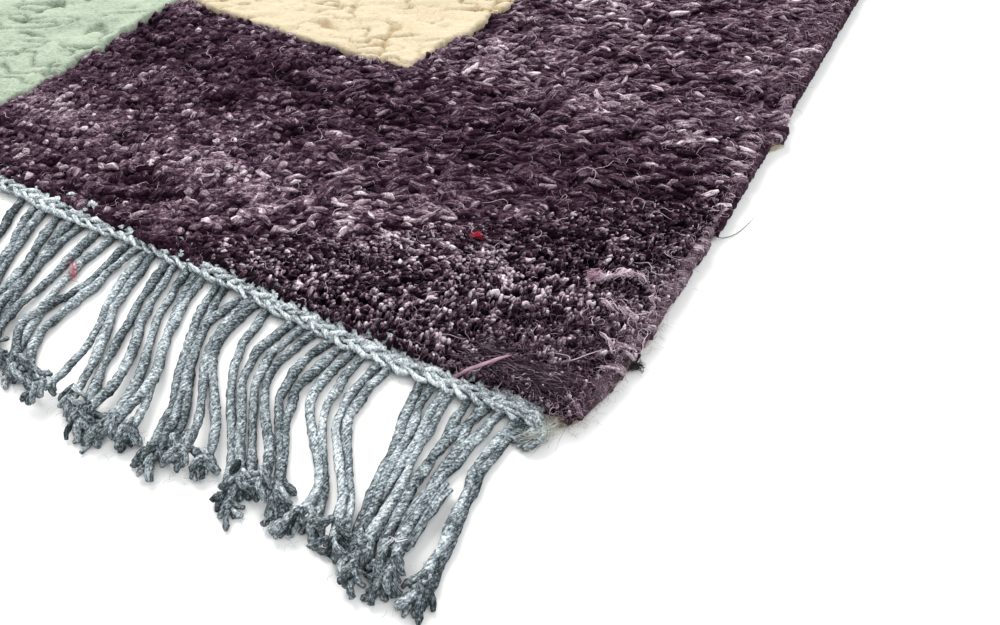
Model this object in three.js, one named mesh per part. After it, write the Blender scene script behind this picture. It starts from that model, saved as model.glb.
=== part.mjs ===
// Hand-knotted wool pile rug with corded cotton fringes at both ends, lying flat on the floor.
// Millimetres, +Z up. X runs across the rug and Y along it. The floor is z = 0, and the origin
// is on the floor under the middle of the whole outline, fringes included.
import * as THREE from 'three';

// ---- Driving dimensions ----
const rug = { width: 900, length: 1500, thickness: 12 }; // the woven part, without its fringes
const bodyRound = { reach: 3, rise: 3.5, segments: 2 }; // how the pile rounds over at its rim
const selvedge = { width: 9, height: 10, footWidth: 5, endInset: 10 };
const heading = { width: 9, height: 6, endInset: 19, crestWidth: 4 };
const fringe = { thickness: 5, spine: 4, reach: 80, firstCord: 16, runs: 3 };
const gap = 0.3; // between neighbouring pieces
const step = { side: 20, end: 30 }; // spacing of the points along the edges

// The corners are drawn in by the tension of the heading.
const cornerDraw = { depth: 13, fade: 25 };

// Hand-made unevenness of the two long edges: `at` is measured from the near end,
// `out` is how far the edge stands out there, and `spread` is the half length of the place.
const bumps = {
  right: [
    { at: 187, out: -3, spread: 9 },
    { at: 210, out: 5, spread: 14 },
    { at: 520, out: 3, spread: 60 },
    { at: 840, out: -4, spread: 80 },
    { at: 1180, out: 3, spread: 45 },
  ],
  left: [
    { at: 150, out: 2, spread: 50 },
    { at: 430, out: -4, spread: 70 },
    { at: 905, out: 4, spread: 55 },
    { at: 1290, out: -3, spread: 40 },
  ],
};
const endWave = { height: 1.5, length: 185, bow: 3 }; // the two ends aren't ruled straight either

// One run of locks, the groups into which the fringe cords fall, from the right end leftwards.
// `from` and `to` are the lock's edges at the heading, measured from the rug's side; `tip` and
// `spread` are the middle and the width of its end; `sway` bows it sideways; `short` trims it.
const locks = [
  { from: 16, to: 40, tip: 26, spread: 14, sway: -3, short: 0 },
  { from: 44, to: 73, tip: 48, spread: 18, sway: 0, short: 4 },
  { from: 79, to: 97, tip: 67, spread: 11, sway: 3, short: 6 },
  { from: 101, to: 125, tip: 92, spread: 17, sway: -5, short: 8 },
  { from: 128, to: 147, tip: 112, spread: 14, sway: -5, short: 2 },
  { from: 150, to: 163, tip: 132, spread: 12, sway: -5, short: 0 },
  { from: 166, to: 198, tip: 154, spread: 17, sway: -2, short: -3 },
  { from: 201, to: 215, tip: 181, spread: 14, sway: 1, short: 4 },
  { from: 218, to: 240, tip: 213, spread: 19, sway: -4, short: 2 },
  { from: 245, to: 268, tip: 245, spread: 16, sway: -1, short: 2 },
  { from: 272, to: 302, tip: 276, spread: 18, sway: 2, short: 5 },
];
const lockStations = [0, 0.2, 0.42, 0.64, 0.84, 1]; // along each lock, from heading to tip

// ---- Outline of the woven part ----
const halfLength = rug.length / 2;
const bell = (distance, spread) => Math.exp(-((distance / spread) ** 2));

// Distance of a long edge's outer line from the middle, at y. side is 1 on the right, -1 on the left.
function edgeX(side, y) {
  const fromNear = y + halfLength;
  const fromFar = halfLength - y;
  const drawn = Math.exp(-fromNear / cornerDraw.fade) + Math.exp(-fromFar / cornerDraw.fade);
  const uneven = (side > 0 ? bumps.right : bumps.left)
    .map((bump) => bump.out * bell(fromNear - bump.at, bump.spread))
    .reduce((sum, out) => sum + out, 0);
  return side * (rug.width / 2 - cornerDraw.depth * drawn + uneven);
}

// Height of an end's outer line above the middle, at x. end is 1 at the far end, -1 at the near one.
function endY(end, x) {
  const wave = endWave.height * Math.sin((2 * Math.PI * x) / endWave.length + end);
  const bow = endWave.bow * (x / (rug.width / 2)) ** 2;
  return end * (halfLength - bow) + wave;
}

// Evenly spaced values from first to last, no further apart than spacing.
function stations(first, last, spacing) {
  const count = Math.ceil(Math.abs(last - first) / spacing);
  return Array.from({ length: count + 1 }, (_, i) => first + ((last - first) * i) / count);
}

// Neighbours share their points along a seam, so that the gap between them stays even.
const bodyInset = selvedge.width + gap;
const bodyEndInset = heading.width + gap;
const headingReach = rug.width / 2 - heading.endInset;
const endStations = stations(-headingReach, headingReach, step.end);

function sideStations(side) {
  const near = endY(-1, side * headingReach) + bodyEndInset;
  const far = endY(1, side * headingReach) - bodyEndInset;
  return stations(near, far, step.side);
}

// ---- Ways of making solids ----
const material = (color, roughness) => new THREE.MeshStandardMaterial({ color, roughness, metalness: 0 });
const darkWool = material(0x3b2f3b, 0.95);
const greyCotton = material(0x7e8a8c, 0.9);

function piece(name, geometry, finish) {
  const mesh = new THREE.Mesh(geometry, finish);
  mesh.name = name;
  return mesh;
}

// A flat slab of an outline, its foot on z = 0, its rim rounded over by `round` where that is given.
function slab(points, height, round) {
  const rise = round ? round.rise : 0;
  const geometry = new THREE.ExtrudeGeometry(new THREE.Shape(points), {
    depth: height - 2 * rise,
    bevelEnabled: Boolean(round),
    bevelThickness: rise,
    bevelSize: round ? round.reach : 0,
    bevelOffset: round ? -round.reach : 0,
    bevelSegments: round ? round.segments : 0,
  });
  return geometry.translate(0, 0, rise);
}

// A closed solid through a row of convex cross-sections with the same number of points, which run
// anticlockwise to an eye that looks along the row.
function loft(sections) {
  const around = sections[0].length;
  const index = [];
  for (let s = 0; s + 1 < sections.length; s += 1) {
    for (let i = 0; i < around; i += 1) {
      const a = s * around + i;
      const b = s * around + ((i + 1) % around);
      index.push(a, b + around, b, a, a + around, b + around);
    }
  }
  const last = (sections.length - 1) * around;
  for (let i = 1; i + 1 < around; i += 1) {
    index.push(0, i, i + 1, last, last + i + 1, last + i);
  }
  const geometry = new THREE.BufferGeometry();
  const coordinates = sections.flat().flatMap((point) => point.toArray());
  geometry.setAttribute('position', new THREE.Float32BufferAttribute(coordinates, 3));
  geometry.setIndex(index);
  geometry.computeVertexNormals();
  return geometry;
}

// ---- The pieces ----
// The knotted pile, inside the selvedges and the headings.
function rugBody() {
  const side = (sign) =>
    sideStations(sign).map((y) => new THREE.Vector2(edgeX(sign, y) - sign * bodyInset, y));
  const end = (sign) =>
    endStations.slice(1, -1).map((x) => new THREE.Vector2(x, endY(sign, x) - sign * bodyEndInset));
  const outline = [...side(1), ...end(1).reverse(), ...side(-1).reverse(), ...end(-1)];
  return piece('rug_body', slab(outline, rug.thickness, bodyRound), darkWool);
}

// One overcast edge: a rounded bar with a flat foot, thinner at its two ends.
function selvedgeBar(name, side) {
  const last = halfLength - selvedge.endInset;
  const sections = [-last, ...sideStations(side), last].map((y, i, all) => {
    const tip = i === 0 || i === all.length - 1;
    const half = selvedge.width / 2;
    const middle = edgeX(side, y) - side * half;
    const reach = tip ? half * 0.7 : half;
    const height = tip ? selvedge.height * 0.75 : selvedge.height;
    const foot = Math.min(selvedge.footWidth / 2, reach);
    return [
      [-foot, 0],
      [foot, 0],
      [reach, height * 0.3],
      [reach, height * 0.62],
      [reach * 0.62, height * 0.93],
      [0, height],
      [-reach * 0.62, height * 0.93],
      [-reach, height * 0.62],
      [-reach, height * 0.3],
    ].map(([across, z]) => new THREE.Vector3(middle + across, y, z));
  });
  return piece(name, loft(sections), darkWool);
}

// One braided end strip: low, with a soft crest, its outer line the rug's end.
function headingStrip(name, end) {
  const sections = endStations.map((x) => {
    const middle = endY(end, x) - end * (heading.width / 2);
    return [
      [-heading.width / 2, 0],
      [-heading.width / 2, heading.height * 0.6],
      [-heading.crestWidth / 2, heading.height],
      [heading.crestWidth / 2, heading.height],
      [heading.width / 2, heading.height * 0.6],
      [heading.width / 2, 0],
    ].map(([along, z]) => new THREE.Vector3(x, middle + along, z));
  });
  return piece(name, loft(sections), greyCotton);
}

// The two long edges of one lock from the heading to its tip, as distances from the rug's side,
// each pair with its distance from the heading.
function lockEdges(lock) {
  const root = (lock.from + lock.to) / 2;
  const rootHalf = (lock.to - lock.from) / 2;
  return lockStations.map((t) => {
    const ease = t * t * (3 - 2 * t);
    const middle = root + (lock.tip - root) * ease - lock.sway * Math.sin(Math.PI * t) * (1 - ease / 2);
    const half = rootHalf + (lock.spread / 2 - rootHalf) * ease;
    const out = fringe.spine + t * (fringe.reach - lock.short - fringe.spine);
    return { near: middle - half, far: middle + half, out };
  });
}

// One fringe: a comb with a spine along the heading and a tooth for each lock of cords. The run of
// locks repeats along the end. It starts at the rug's right corner on the near end and at its left
// corner on the far one.
function fringeComb(name, end) {
  const runLength = (rug.width - 2 * fringe.firstCord) / fringe.runs;
  const place = (distance, out) => {
    const x = -end * (rug.width / 2 - distance);
    return new THREE.Vector2(x, endY(end, x) + end * (gap + out));
  };
  const teeth = [];
  for (let run = 0; run < fringe.runs; run += 1) {
    const shift = run * runLength;
    for (const lock of locks) {
      teeth.push(lockEdges(lock).map(({ near, far, out }) => ({ near: near + shift, far: far + shift, out })));
    }
  }
  const downAndUp = (tooth) => [
    ...tooth.map(({ near, out }) => place(near, out)),
    ...[...tooth].reverse().map(({ far, out }) => place(far, out)),
  ];
  const seam = endStations.slice(1, -1).map((x) => rug.width / 2 - x);
  const outline = [
    ...teeth.flatMap(downAndUp),
    ...[teeth.at(-1)[0].far, ...seam, fringe.firstCord].map((distance) => place(distance, 0)),
  ];
  if (THREE.ShapeUtils.isClockWise(outline)) outline.reverse();
  return piece(name, slab(outline, fringe.thickness), greyCotton);
}

// ---- The whole rug ----
const group = new THREE.Group();
group.add(
  rugBody(),
  selvedgeBar('selvedge_left', -1),
  selvedgeBar('selvedge_right', 1),
  headingStrip('heading_near', -1),
  headingStrip('heading_far', 1),
  fringeComb('fringe_near', -1),
  fringeComb('fringe_far', 1),
);
const middle = new THREE.Box3().setFromObject(group).getCenter(new THREE.Vector3());
group.position.set(-middle.x, -middle.y, 0);
group.updateMatrixWorld(true);

export default group;
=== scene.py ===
"""Looks of the rug: deep knotted wool pile in plain blocks, overcast sides, braided ends and fringes.

Metres, +Z up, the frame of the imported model. X runs across the rug and Y along it; "near" is the end
at low Y. Places on the rug are given by their distance from its right side and from its near end.
"""
import math

import bpy
import numpy as np
from mathutils import Matrix, Vector


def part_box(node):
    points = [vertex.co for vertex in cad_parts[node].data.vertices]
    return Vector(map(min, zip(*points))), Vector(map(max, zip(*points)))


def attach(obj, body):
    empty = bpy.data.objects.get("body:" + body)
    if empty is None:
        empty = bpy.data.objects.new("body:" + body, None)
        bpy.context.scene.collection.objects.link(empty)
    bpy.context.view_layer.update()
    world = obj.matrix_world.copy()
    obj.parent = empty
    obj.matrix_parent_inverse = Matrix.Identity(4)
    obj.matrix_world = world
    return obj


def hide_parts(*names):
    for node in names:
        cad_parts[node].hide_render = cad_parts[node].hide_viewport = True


MM = 0.001
NEAR, FAR = -1, 1  # the two ends
LEFT, RIGHT = -1, 1  # the two sides
END_NAME = {NEAR: "near", FAR: "far"}
SIDE_NAME = {LEFT: "left", RIGHT: "right"}
WIDTH, LENGTH = 0.900, 1.500  # without the fringes

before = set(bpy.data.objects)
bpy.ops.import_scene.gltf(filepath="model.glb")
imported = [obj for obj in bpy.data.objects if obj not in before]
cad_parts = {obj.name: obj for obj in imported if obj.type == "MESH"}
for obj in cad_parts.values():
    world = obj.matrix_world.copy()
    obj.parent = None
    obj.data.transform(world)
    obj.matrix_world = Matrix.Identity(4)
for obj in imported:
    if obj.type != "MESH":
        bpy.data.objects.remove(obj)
bpy.context.view_layer.update()


# ---- Where the edges run, read from the frame ----
def middle_line(node, along, across):
    """A bar's stations along one axis, and its middle and half width at each, from its CAD node."""
    co = np.array([v.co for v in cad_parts[node].data.vertices])
    stations = np.unique(np.round(co[:, along], 6))
    at = [co[np.abs(co[:, along] - s) < 2e-6, across] for s in stations]
    return (
        stations,
        np.array([(a.max() + a.min()) / 2 for a in at]),
        np.array([(a.max() - a.min()) / 2 for a in at]),
    )


side_lines = {side: middle_line(f"selvedge_{name}", 1, 0) for side, name in SIDE_NAME.items()}
end_lines = {end: middle_line(f"heading_{name}", 0, 1) for end, name in END_NAME.items()}
SELVEDGE_HALF = side_lines[RIGHT][2].max()
HEADING_HALF = end_lines[NEAR][2].max()
PILE_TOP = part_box("rug_body")[1].z


def side_x(side, y):
    """X of the middle of a selvedge at y."""
    return np.interp(y, side_lines[side][0], side_lines[side][1])


def end_y(end, x):
    """Y of the middle of a heading at x."""
    return np.interp(x, end_lines[end][0], end_lines[end][1])


def from_side(x, y):
    """Distance in from the outer line of the right selvedge."""
    return side_x(RIGHT, y) + SELVEDGE_HALF - x


def from_end(x, y):
    """Distance in from the outer line of the near heading."""
    return y - end_y(NEAR, x) + HEADING_HALF


def from_either_side(x, y):
    """A distance in from the nearer side."""
    across = from_side(x, y)
    return np.minimum(across, WIDTH - across)


def from_either_end(x, y):
    """A distance in from the nearer end."""
    along = from_end(x, y)
    return np.minimum(along, LENGTH - along)


def on_rug(side_distance, end_distance):
    """The point at those distances from the right side and the near end."""
    y = end_y(NEAR, side_x(RIGHT, 0) + SELVEDGE_HALF - side_distance) - HEADING_HALF + end_distance
    return side_x(RIGHT, y) + SELVEDGE_HALF - side_distance, y


# ---- Camera, light and floor ----
def camera():
    """A low camera close to the near right corner, turned towards the middle of the rug."""
    eye = Vector((WIDTH / 2 + 0.0623, -LENGTH / 2 - 0.1562, 0.270))
    azimuth, pitch, roll = math.radians(31.14), math.radians(48.44), math.radians(1.5)
    forward = Vector(
        (-math.sin(azimuth) * math.cos(pitch), math.cos(azimuth) * math.cos(pitch), -math.sin(pitch))
    )
    right = Vector((math.cos(azimuth), math.sin(azimuth), 0))
    up = right.cross(forward)
    rolled_right = right * math.cos(roll) - up * math.sin(roll)
    rolled_up = right * math.sin(roll) + up * math.cos(roll)
    data = bpy.data.cameras.new("camera")
    data.lens, data.sensor_width = 31.46, 36
    data.clip_start, data.clip_end = 0.01, 50
    seen = bpy.data.objects.new("camera", data)
    turned = Matrix((rolled_right, rolled_up, -forward)).transposed().to_4x4()
    seen.matrix_world = Matrix.Translation(eye) @ turned
    bpy.context.scene.collection.objects.link(seen)
    bpy.context.scene.camera = seen


def lamp(name, towards, distance, size, power, colour):
    """A square area light that looks at the corner from a direction."""
    data = bpy.data.lights.new(name, "AREA")
    data.size, data.energy, data.color = size, power, colour
    light = bpy.data.objects.new(name, data)
    direction = Vector(towards).normalized()
    light.location = direction * distance
    light.rotation_euler = (-direction).to_track_quat("-Z", "Y").to_euler()
    bpy.context.scene.collection.objects.link(light)


def studio():
    """A pale floor under soft light, most of it from the left and a little from beyond."""
    scene = bpy.context.scene
    scene.view_settings.view_transform = "Standard"
    world = bpy.data.worlds.new("studio")
    scene.world = world
    world.use_nodes = True
    sky = world.node_tree.nodes["Background"].inputs
    sky["Color"].default_value, sky["Strength"].default_value = (1, 1, 1, 1), 0.85
    lamp("key", (-0.62, 0.42, 0.85), 4.0, 2.6, 240, (1.0, 0.985, 0.965))
    lamp("fill", (0.8, -0.3, 1.2), 4.0, 3.0, 70, (0.95, 0.98, 1.0))
    mesh = bpy.data.meshes.new("floor")
    reach = 12
    corners = [(-reach, -reach, 0), (reach, -reach, 0), (reach, reach, 0), (-reach, reach, 0)]
    mesh.from_pydata(corners, [], [(0, 1, 2, 3)])
    floor = bpy.data.objects.new("floor", mesh)
    white = bpy.data.materials.new("floor_white")
    white.use_nodes = True
    looks = {"Base Color": (0.80, 0.80, 0.795, 1), "Roughness": 0.9, "Specular IOR Level": 0.2}
    for key, value in looks.items():
        white.node_tree.nodes["Principled BSDF"].inputs[key].default_value = value
    mesh.materials.append(white)
    bpy.context.scene.collection.objects.link(floor)


camera()
studio()


# ---- Materials ----
class Nodes:
    """A short way to write the node tree of a material."""

    def __init__(self, name):
        self.material = bpy.data.materials.new(name)
        self.material.use_nodes = True
        self.tree = self.material.node_tree
        self.shader = self.tree.nodes["Principled BSDF"]

    def feed(self, node, values):
        """Gives a node's inputs their values, or links from the outputs that give them."""
        for key, value in values.items():
            if isinstance(value, bpy.types.NodeSocket):
                self.tree.links.new(value, node.inputs[key])
            else:
                node.inputs[key].default_value = value

    def add(self, kind, values=None, **settings):
        node = self.tree.nodes.new("ShaderNode" + kind)
        for key, value in settings.items():
            setattr(node, key, value)
        self.feed(node, values or {})
        return node

    def number(self, operation, *values):
        """A Math node's result."""
        return self.add("Math", dict(enumerate(values)), operation=operation).outputs[0]

    def attribute(self, name, output="Fac"):
        return self.add("Attribute", attribute_name=name).outputs[output]

    def ramp(self, factor, stops):
        """Colours between (place, colour) stops."""
        node = self.add("ValToRGB", {"Fac": factor})
        points = node.color_ramp.elements
        while len(points) < len(stops):
            points.new(0.5)
        for point, (place, colour) in zip(points, stops):
            point.position, point.color = place, (*colour, 1)
        return node.outputs["Color"]

    def noise(self, vector, scale, detail=2.0, roughness=0.6):
        values = {"Vector": vector, "Scale": scale, "Detail": detail, "Roughness": roughness}
        return self.add("TexNoise", values).outputs["Fac"]

    def relief(self, height, strength, distance):
        """The bumps that a height makes."""
        values = {"Height": height, "Strength": strength, "Distance": distance}
        return self.add("Bump", values).outputs["Normal"]

    def between(self, value, low, high):
        """A value from 0 to 1 as one from low to high."""
        return self.add("MapRange", {"Value": value, "To Min": low, "To Max": high}).outputs["Result"]


def yarn(name, stops, fleck, lint, sheen, bump=0.8, scale=3.2):
    """Wool or cotton yarn. `tone` says how dark or pale each place is, and `fibre` gives each thread
    its own coordinates, along which the fibres run; both are attributes of the mesh. `fleck` and
    `lint` are the strengths of the fibres and of the finer specks, and `sheen` a weight and a tint."""
    n = Nodes(name)
    fibres = n.noise(n.attribute("fibre", "Vector"), scale, 3.0, 0.65)
    specks = n.noise(n.add("TexCoord").outputs["Object"], 1000.0, 2.0, 0.6)
    streaks = n.number("MULTIPLY_ADD", fibres, fleck, -0.5 * fleck)
    tone = n.number("ADD", n.attribute("tone"), streaks)
    tone = n.number("ADD", tone, n.number("MULTIPLY_ADD", specks, lint, -0.5 * lint))
    n.feed(n.shader, {
        "Base Color": n.ramp(tone, stops),
        "Normal": n.relief(fibres, bump, 0.6 * MM),
        "Roughness": n.between(fibres, 0.75, 0.98),
        "Specular IOR Level": 0.03,
        "Sheen Weight": sheen[0],
        "Sheen Tint": (*sheen[1], 1),
        "Sheen Roughness": 0.5,
    })
    return n.material


def loose(name):
    """Loose fibres, each in its own `dye`."""
    n = Nodes(name)
    fibres = n.noise(n.attribute("fibre", "Vector"), 2.0)
    shade = n.between(fibres, 0.7, 1.3)
    dyed = n.add("VectorMath", {0: n.attribute("dye", "Vector"), "Scale": shade}, operation="SCALE")
    n.feed(n.shader, {
        "Base Color": dyed.outputs["Vector"],
        "Normal": n.relief(fibres, 0.3, 0.1 * MM),
        "Roughness": 0.75,
        "Specular IOR Level": 0.15,
    })
    return n.material


AUBERGINE = [
    (0.0, (0.0055, 0.0008, 0.0035)),
    (0.3, (0.020, 0.0070, 0.0155)),
    (0.52, (0.080, 0.0465, 0.068)),
    (0.75, (0.305, 0.228, 0.272)),
    (1.0, (0.78, 0.68, 0.73)),
]
CREAM = [
    (0.0, (0.12, 0.075, 0.035)),
    (0.3, (0.34, 0.255, 0.145)),
    (0.6, (0.52, 0.445, 0.315)),
    (1.0, (0.62, 0.55, 0.41)),
]
SAGE = [
    (0.0, (0.035, 0.055, 0.035)),
    (0.3, (0.155, 0.195, 0.145)),
    (0.6, (0.318, 0.374, 0.292)),
    (1.0, (0.47, 0.53, 0.43)),
]
SLATE = [
    (0.0, (0.012, 0.016, 0.019)),
    (0.3, (0.060, 0.076, 0.085)),
    (0.5, (0.175, 0.205, 0.222)),
    (0.7, (0.36, 0.41, 0.435)),
    (1.0, (0.80, 0.86, 0.88)),
]
# A weight and a tint each.
MAUVE_SHEEN = (0.08, (0.60, 0.42, 0.54))
PALE_SHEEN = (0.03, (1.0, 0.95, 0.88))

ground_wool = yarn("aubergine_wool", AUBERGINE, 1.2, 0.6, MAUVE_SHEEN, scale=1.9)
cream_wool = yarn("cream_wool", CREAM, 0.55, 0.35, PALE_SHEEN, bump=0.6, scale=2.2)
sage_wool = yarn("sage_wool", SAGE, 0.7, 0.45, PALE_SHEEN, bump=0.6, scale=2.2)
overcast_wool = yarn("overcast_wool", AUBERGINE, 1.5, 0.6, MAUVE_SHEEN, scale=4.5)
grey_cotton = yarn("slate_cotton", SLATE, 1.45, 1.2, PALE_SHEEN, bump=0.9, scale=2.6)
loose_wool = loose("loose_fibres")

PALE_HAIR = (0.62, 0.50, 0.57)
WOOL_FUZZ = (0.120, 0.073, 0.098)
MAUVE_FUZZ = (0.23, 0.155, 0.195)
BROWN_FUZZ = (0.38, 0.27, 0.27)
FRIZZ = (0.30, 0.22, 0.27)
# Partly loose fuzz, partly a painted warm shadow on the floor by the corner.
BROWN_SHADOW_FUZZ = (0.44, 0.35, 0.25)
DARK_FUZZ = (0.030, 0.016, 0.030)
CORNER_FUZZ = (0.105, 0.062, 0.088)
DARK_LINT = (0.030, 0.027, 0.028)
RED_LINT = (0.50, 0.03, 0.06)
PINK_WOOL = (0.46, 0.29, 0.37)
STRAW = (0.55, 0.47, 0.32)
PALE_COTTON = (0.46, 0.48, 0.44)
GREY_FUZZ = (0.30, 0.34, 0.36)
WHITE_FLUFF = (0.50, 0.52, 0.55)


# ---- Meshes from arrays ----
def eased(share):
    """0 to 1 with a soft start and end."""
    share = np.clip(share, 0, 1)
    return share**2 * (3 - 2 * share)


def noise(u, v, seed):
    """Soft noise from -1 to 1 over pairs of numbers, in lumps one number wide."""
    cells = 128
    table = np.random.default_rng(seed).uniform(-1, 1, (cells, cells))
    i, j = np.floor(u).astype(int), np.floor(v).astype(int)
    fade_u, fade_v = eased(u - i), eased(v - j)
    i, j, i_next, j_next = i % cells, j % cells, (i + 1) % cells, (j + 1) % cells
    low = table[i, j] * (1 - fade_u) + table[i_next, j] * fade_u
    high = table[i, j_next] * (1 - fade_u) + table[i_next, j_next] * fade_u
    return low * (1 - fade_v) + high * fade_v


def drift(x, y, length, width, seed):
    """Soft noise over the floor, in lumps with that length in X and width in Y, in millimetres."""
    return noise(x / (length * MM), y / (width * MM), seed)


NAP = 0.52  # the way in which the pile is drawn out, as an angle from +X towards +Y


def along_nap(x, y):
    """How far places lie along the nap and across it."""
    return x * math.cos(NAP) + y * math.sin(NAP), y * math.cos(NAP) - x * math.sin(NAP)


def lumps(x, y, length, width, seed):
    """Soft noise in lumps that are drawn out along the nap, in millimetres."""
    return drift(*along_nap(x, y), length, width, seed)


def unit(vectors):
    return vectors / np.maximum(np.linalg.norm(vectors, axis=-1, keepdims=True), 1e-9)


def together(*values):
    """Values side by side in a last axis, spread over each other's shapes: points from coordinates,
    or faces from corners."""
    return np.stack(np.broadcast_arrays(*values), -1)


def laid_out(rings, ends=None):
    """Values at the ring points (threads, rows, around, k) and at both ends (threads, 2, k), as a list.
    Without values of their own the ends have the mean of the rings beside them."""
    count, _, _, width = rings.shape
    if ends is None:
        ends = np.stack([rings[:, row].mean(1) for row in (0, -1)], 1)
    return np.concatenate([rings.reshape(count, -1, width), ends], 1).reshape(-1, width)


def skins(rings, ends):
    """Closed skins through many rows of rings: rings (threads, rows, around, 3) and the two end points
    of each. A ring runs anticlockwise to an eye that the row comes towards."""
    threads, rows, around, _ = rings.shape
    each = rows * around + 2
    i = np.arange(around)
    j = (i + 1) % around
    bands = [
        together(r * around + i, r * around + j, (r + 1) * around + j, (r + 1) * around + i)
        for r in range(rows - 1)
    ]
    last = (rows - 1) * around
    start_cap, end_cap = together(each - 2, j, i), together(each - 1, last + i, last + j)
    base = (np.arange(threads) * each)[:, None, None]
    faces = [(np.concatenate([start_cap, end_cap]) + base).reshape(-1, 3)]
    if bands:
        faces.append((np.concatenate(bands) + base).reshape(-1, 4))
    return laid_out(rings, ends), faces


def solid(name, parts, material):
    """A piece that rides on the rug, from a list of (points, faces, attributes) parts."""
    points = np.concatenate([part[0] for part in parts])
    points[:, 2] = np.maximum(points[:, 2], 0.05 * MM)
    corners, counts, start = [], [], 0
    for own_points, faces, _ in parts:
        for block in faces:
            corners.append((block + start).ravel())
            counts.append(np.full(len(block), block.shape[1]))
        start += len(own_points)
    corners, counts = np.concatenate(corners), np.concatenate(counts)
    mesh = bpy.data.meshes.new(name)
    mesh.vertices.add(len(points))
    mesh.vertices.foreach_set("co", points.astype(np.float32).ravel())
    mesh.loops.add(len(corners))
    mesh.loops.foreach_set("vertex_index", corners.astype(np.int32))
    mesh.polygons.add(len(counts))
    starts = np.concatenate([[0], np.cumsum(counts)[:-1]])
    mesh.polygons.foreach_set("loop_start", starts.astype(np.int32))
    mesh.polygons.foreach_set("use_smooth", np.ones(len(counts), bool))
    mesh.update(calc_edges=True)
    low, high = points[:, :2].min(0), points[:, :2].max(0)
    seen_from_above = ((points[:, :2] - low) / (high - low))[corners].astype(np.float32)
    mesh.uv_layers.new(name="OFBake").data.foreach_set("uv", seen_from_above.ravel())
    for label in parts[0][2]:
        values = np.concatenate([part[2][label] for part in parts]).astype(np.float32)
        kind, key = ("FLOAT", "value") if values.shape[1] == 1 else ("FLOAT_VECTOR", "vector")
        mesh.attributes.new(label, kind, "POINT").data.foreach_set(key, values.ravel())
    mesh.materials.append(material)
    piece = bpy.data.objects.new(name, mesh)
    bpy.context.scene.collection.objects.link(piece)
    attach(piece, "root")
    return piece


# ---- Foundation ----
PILE_HALF = 0.742  # half the length between the headings, as a first guess


def between_edges(u, v, over_side=0.0, over_end=0.0):
    """The places at the shares u across and v along the pile, which may reach some way over the
    selvedges and the headings."""
    inner_x, inner_y = SELVEDGE_HALF - over_side, HEADING_HALF - over_end
    y = -PILE_HALF + 2 * PILE_HALF * v
    for _ in range(3):
        low_x, high_x = side_x(LEFT, y) + inner_x, side_x(RIGHT, y) - inner_x
        x = low_x + (high_x - low_x) * u
        near, far = end_y(NEAR, x) + inner_y, end_y(FAR, x) - inner_y
        y = near + (far - near) * v
    return x, y


def foundation():
    """The woven ground in which the knots are tied: a thin sheet, inside the selvedges and headings."""
    rows, columns, top = 40, 24, 2.6 * MM
    v, u = np.meshgrid(np.linspace(0, 1, rows), np.linspace(0, 1, columns), indexing="ij")
    x, y = between_edges(u, v)
    upper = together(x, y, top).reshape(-1, 3)
    lower = upper * (1, 1, 0) + (0, 0, 0.2 * MM)
    index = np.arange(rows * columns).reshape(rows, columns)
    a, b = index[:-1, :-1].ravel(), index[:-1, 1:].ravel()
    c, d = index[1:, 1:].ravel(), index[1:, :-1].ravel()
    under = rows * columns
    rim = np.concatenate([index[0, :-1], index[:-1, -1], index[-1, :0:-1], index[:0:-1, 0]])
    turned = np.roll(rim, -1)
    faces = [
        together(a, b, c, d),
        together(d, c, b, a) + under,
        together(rim + under, turned + under, turned, rim),
    ]
    points = np.concatenate([upper, lower])
    # Painted shade: the knots' ground is made much darker than the pile's wool, for its depth under the
    # pile.
    looks = {"tone": np.full((len(points), 1), 0.15), "fibre": points * 900}
    return solid("foundation", [(points, faces, looks)], ground_wool)


# ---- Pile ----
GROUND, CREAM_KIND, SAGE_KIND = range(3)  # the kinds of knot, by their colour
KNOTTED_WIDTH, KNOTTED_LENGTH = 0.889, 1.487  # what the knots fill, about
KNOT_PITCH, COARSE_PITCH = 4.4 * MM, 9.2 * MM  # in the fine corner, and elsewhere
YARN_APART = 1.05 * MM  # from the middle of a knot to each of its yarn ends
# The fine corner ends at two slanting lines. One runs from a distance from the near end, and draws
# nearer to it with the distance from the right side; the other runs from a distance from that side,
# and draws away from it with the distance from the end.
FINE_FROM_END, FINE_END_FALL = 0.362, 0.539
FINE_FROM_SIDE, FINE_SIDE_RISE = 0.318, 1.243
# A square that holds the fine corner: its corner with the lowest x and y, and its size.
FINE_LOW, FINE_SIZE = (side_x(RIGHT, -0.6) - 0.452, end_y(NEAR, 0.2)), 0.46
OPENED_WITHIN = 0.20  # how far from the corner the yarn ends stand opened
FELT_FROM = 165 * MM  # how far from the corner the felted ground begins
# The edges of the colour blocks, as distances from the right side and the near end.
CREAM_OUTER, CREAM_INNER = 187 * MM, 347 * MM
CREAM_FROM, CREAM_TO = 165 * MM, 470 * MM
SAGE_FROM, SAGE_TO = 33 * MM, 600 * MM
# Further along, the cream widens outwards by that much for its length, as far as its last outer edge.
CREAM_SLANT, CREAM_LAST_OUTER = 0.19, 120 * MM
# Bands from side to side where the pile stands higher and paler with painted light, and lower and darker
# with painted shade.
BANDS = (
    # distance from the end, half width, strength
    (5, 6, -0.10),
    (20, 7, 0.03),
    (36, 7, -0.05),
    (58, 12, 0.09),
    (90, 14, -0.01),
    (128, 24, -0.13),
    (188, 20, 0.06),
    (228, 8, -0.05),
    (266, 15, 0.06),
)
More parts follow.
